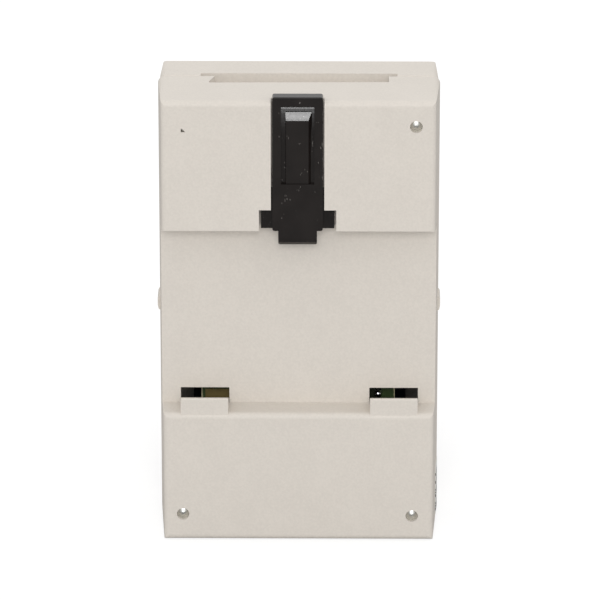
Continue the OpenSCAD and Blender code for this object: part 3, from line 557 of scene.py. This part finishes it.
def text_outline_mesh(text, size):
    """Mesh of a numeral in the built-in font, flat in its own X and Y, centred."""
    curve = bpy.data.curves.new("numeral", "FONT")
    curve.body = text
    curve.size = size
    curve.align_x = "CENTER"
    curve.align_y = "CENTER"
    curve.extrude = 0.02 * MM
    curve.resolution_u = 6
    holder = bpy.data.objects.new("numeral", curve)
    bpy.context.scene.collection.objects.link(holder)
    bpy.context.view_layer.update()
    mesh = bpy.data.meshes.new_from_object(holder.evaluated_get(bpy.context.evaluated_depsgraph_get()))
    bpy.data.objects.remove(holder)
    bpy.data.curves.remove(curve)
    return mesh


def add_numeral(name, text, size, place, body):
    """A raised dark numeral centred on a place on a surface that faces -Y."""
    mesh = text_outline_mesh(text, size)
    across = [v.co.x for v in mesh.vertices]
    along = [v.co.y for v in mesh.vertices]
    centre = Vector(((min(across) + max(across)) / 2, (min(along) + max(along)) / 2, 0))
    turn = Matrix.Translation(place) @ Matrix.Rotation(math.radians(90), 4, "X")
    mesh.transform(turn @ Matrix.Translation(-centre))
    add_piece(name, mesh, PRINT_DARK, body)


# Arrows on the two function keys, as (x, z) corners in millimetres from the middle of the key
CLEAR_ARROW = [(-2.3, 0), (-0.7, -1.5), (-0.7, -0.5), (2.3, -0.5), (2.3, 0.5), (-0.7, 0.5), (-0.7, 1.5)]
ENTER_ARROW = [(-2.2, -0.5), (-0.8, -1.9), (-0.8, -0.95), (1.9, -0.95), (1.9, 1.5), (1.0, 1.5), (1.0, -0.05),
               (-0.8, -0.05), (-0.8, 0.9)]


def add_key_marks():
    """A numeral on each digit key and an arrow on each of the two function keys."""
    numeral_size, stand_off = 4.6 * MM, 0.005 * MM
    for key in DIGIT_KEYS:
        centre = middle(f"key_{key}")
        place = (centre.x, front_of(f"key_{key}") - stand_off, centre.z)
        add_numeral(f"numeral_{key}", key, numeral_size, place, f"key_{key}_body")
    for key, outline in (("clear", CLEAR_ARROW), ("enter", ENTER_ARROW)):
        centre = middle(f"key_{key}")
        shape = [(centre.x + x * MM, centre.z + z * MM) for x, z in outline]
        plates(f"{key}_arrow", [shape], front_of(f"key_{key}"), 0.025 * MM, PRINT_WHITE,
               f"key_{key}_body")


def frame_outline(x, z, width, height, line):
    """Four bars that outline a rectangle."""
    return [bar(x, z + height / 2, width + line, line), bar(x, z - height / 2, width + line, line),
            bar(x - width / 2, z, line, height - line), bar(x + width / 2, z, line, height - line)]


def ring_outlines(centre, radius, inner_share, steps=32):
    """A flat ring as short four-sided pieces."""
    turns = [i * math.tau / steps for i in range(steps)]
    ring = [(centre.x + radius * math.cos(a), centre.z + radius * math.sin(a)) for a in turns]
    inner = [(centre.x + (x - centre.x) * inner_share, centre.z + (z - centre.z) * inner_share) for x, z in ring]
    following = [(i + 1) % steps for i in range(steps)]
    return [[inner[i], ring[i], ring[j], inner[j]] for i, j in enumerate(following)]


def add_film_print():
    """Plain lines printed on the film, round the window and the two indicators."""
    window = middle("display_window")
    low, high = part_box("display_window")
    margin, line, ring_radius, ring_inner_share = 0.9 * MM, 0.3 * MM, 2.15 * MM, 0.87
    lines = frame_outline(window.x, window.z, high.x - low.x + margin, high.z - low.z + margin, line)
    for led in ("pulse_led", "status_led"):
        lines += ring_outlines(middle(led), ring_radius, ring_inner_share)
    plates("film_lines", lines, front_of("face_film"), 0.015 * MM, FILM_PRINT)


# The covers' outer faces lean out towards their hinges: where they are at the ribs, and higher up at the numerals
COVER_AT_RIBS = REAR - 47.0 * MM
COVER_AT_NUMERALS = REAR - 47.075 * MM


def add_cover_marks():
    """Finger ribs on the outside of both hinged covers, and a plain number over each power terminal."""
    rib_pitch, numeral_size, numeral_z = 1.1 * MM, 3.4 * MM, 16.8 * MM
    for node, body, first_rib in (("terminal_cover", "lower_cover", 5.1 * MM), ("aux_cover", "upper_cover", 1.3 * MM)):
        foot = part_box(node)[0].z
        for number in range(3):
            add_rib(f"{node}_rib_{number + 1}", foot + first_rib + number * rib_pitch, body)
    for number in TERMINALS:
        place = (middle(f"clamp_screw_{number}").x, COVER_AT_NUMERALS, numeral_z)
        add_numeral(f"terminal_number_{number}", str(number), numeral_size, place, "lower_cover")


def add_rib(name, z, body):
    """A low half-round rib, 12 mm long, on the outside of a cover."""
    steps, radius, flatness, half = 10, 0.35 * MM, 0.9, 6 * MM
    points, faces = [], []
    for side in (-half, half):
        for i in range(steps + 1):
            a = math.pi * i / steps
            points.append((side, COVER_AT_RIBS - radius * flatness * math.sin(a), z + radius * math.cos(a)))
    row = steps + 1
    for i in range(steps):
        faces.append([i, i + 1, row + i + 1, row + i])
    faces.append(list(range(row))[::-1])
    faces.append([row + i for i in range(row)])
    faces.append([0, row, 2 * row - 1, row - 1])
    add_mesh(name, points, faces, COVER, body)


def rough_strip(x, z0, z1, width, steps, seed):
    """Outline of an upright strip whose left edge is torn, between two heights."""
    random = Random(seed)
    right = [(x, z0 + (z1 - z0) * i / steps) for i in range(steps + 1)]
    left = [(x - width * random.uniform(0.6, 1.25), z) for _, z in right]
    return right + left[::-1]


# Copper areas on the solder side of the board, as middle x and z, width and height in millimetres
COPPER_AREAS = [(12.5, 16.5, 10.6, 20.4), (1.5, 16.5, 9.6, 21.5), (-10.0, 14.0, 11.5, 17.0), (0.3, 37.0, 34.6, 16.2),
                (-8.7, 52.0, 14.5, 11.4), (9.5, 53.0, 16.0, 13.4), (0, 70.0, 28.0, 15.0)]
DARK_AREA = (-12.8, 26.0, 5.7, 4.6)


def add_board_back():
    """Solder side of the main board: copper under the mask, a dark patch and the torn edges of the laminate."""
    low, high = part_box("main_board")
    back = high.y
    areas = [bar(*(value * MM for value in area)) for area in COPPER_AREAS]
    plates("board_copper_areas", areas, back, 0.035 * MM, POUR, towards=1)
    dark = bar(*(value * MM for value in DARK_AREA))
    plates("board_dark_mask", [dark], back, 0.03 * MM, BARE_MASK, towards=1)
    edge, margin = 0.24 * MM, 0.6 * MM
    right = rough_strip(high.x, low.z + margin, high.z - margin, edge, 120, 4)
    left = rough_strip(low.x + edge, low.z + margin, high.z - margin, edge, 160, 9)
    mirrored = [(2 * (low.x + edge / 2) - x, z) for x, z in left][::-1]
    plates("board_cut_edges", [right, mirrored], back, 0.02 * MM, LAMINATE, towards=1)


# ---- Scene ----

add_camera()
add_studio()
paint_nodes()
add_display()
add_key_marks()
add_film_print()
add_cover_marks()
add_board_back()
